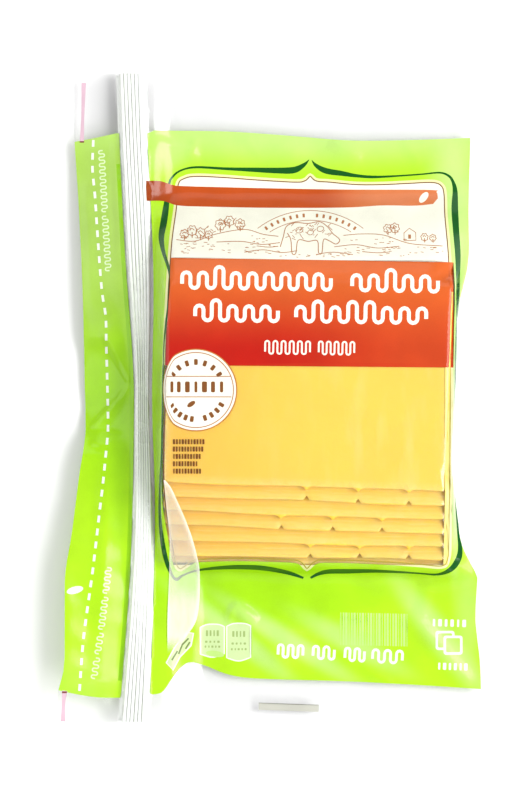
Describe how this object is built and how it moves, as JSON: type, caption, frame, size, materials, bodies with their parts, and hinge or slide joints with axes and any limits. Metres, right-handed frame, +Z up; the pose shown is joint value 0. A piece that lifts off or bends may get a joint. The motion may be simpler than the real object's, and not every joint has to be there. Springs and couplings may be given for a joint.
{
  "type": "pack of sliced cheese",
  "caption": "Flat film pack of shingled cheese slices with a clear window, a tear-off header and a press-to-close strip, lying on its back.",
  "frame": {"origin": "on the resting surface, under the middle of the pack's outline", "axes": "+X to the pack's right as its front is read, +Y to its top edge, +Z up out of its front"},
  "size_m": [0.1382, 0.211, 0.0256],
  "materials": {
    "film": "gloss printed film",
    "clear_strip": "milky clear plastic"
  },
  "bodies": {
    "root": {"pouch": "film", "press_strip": "clear_strip"}
  },
  "joints": []
}
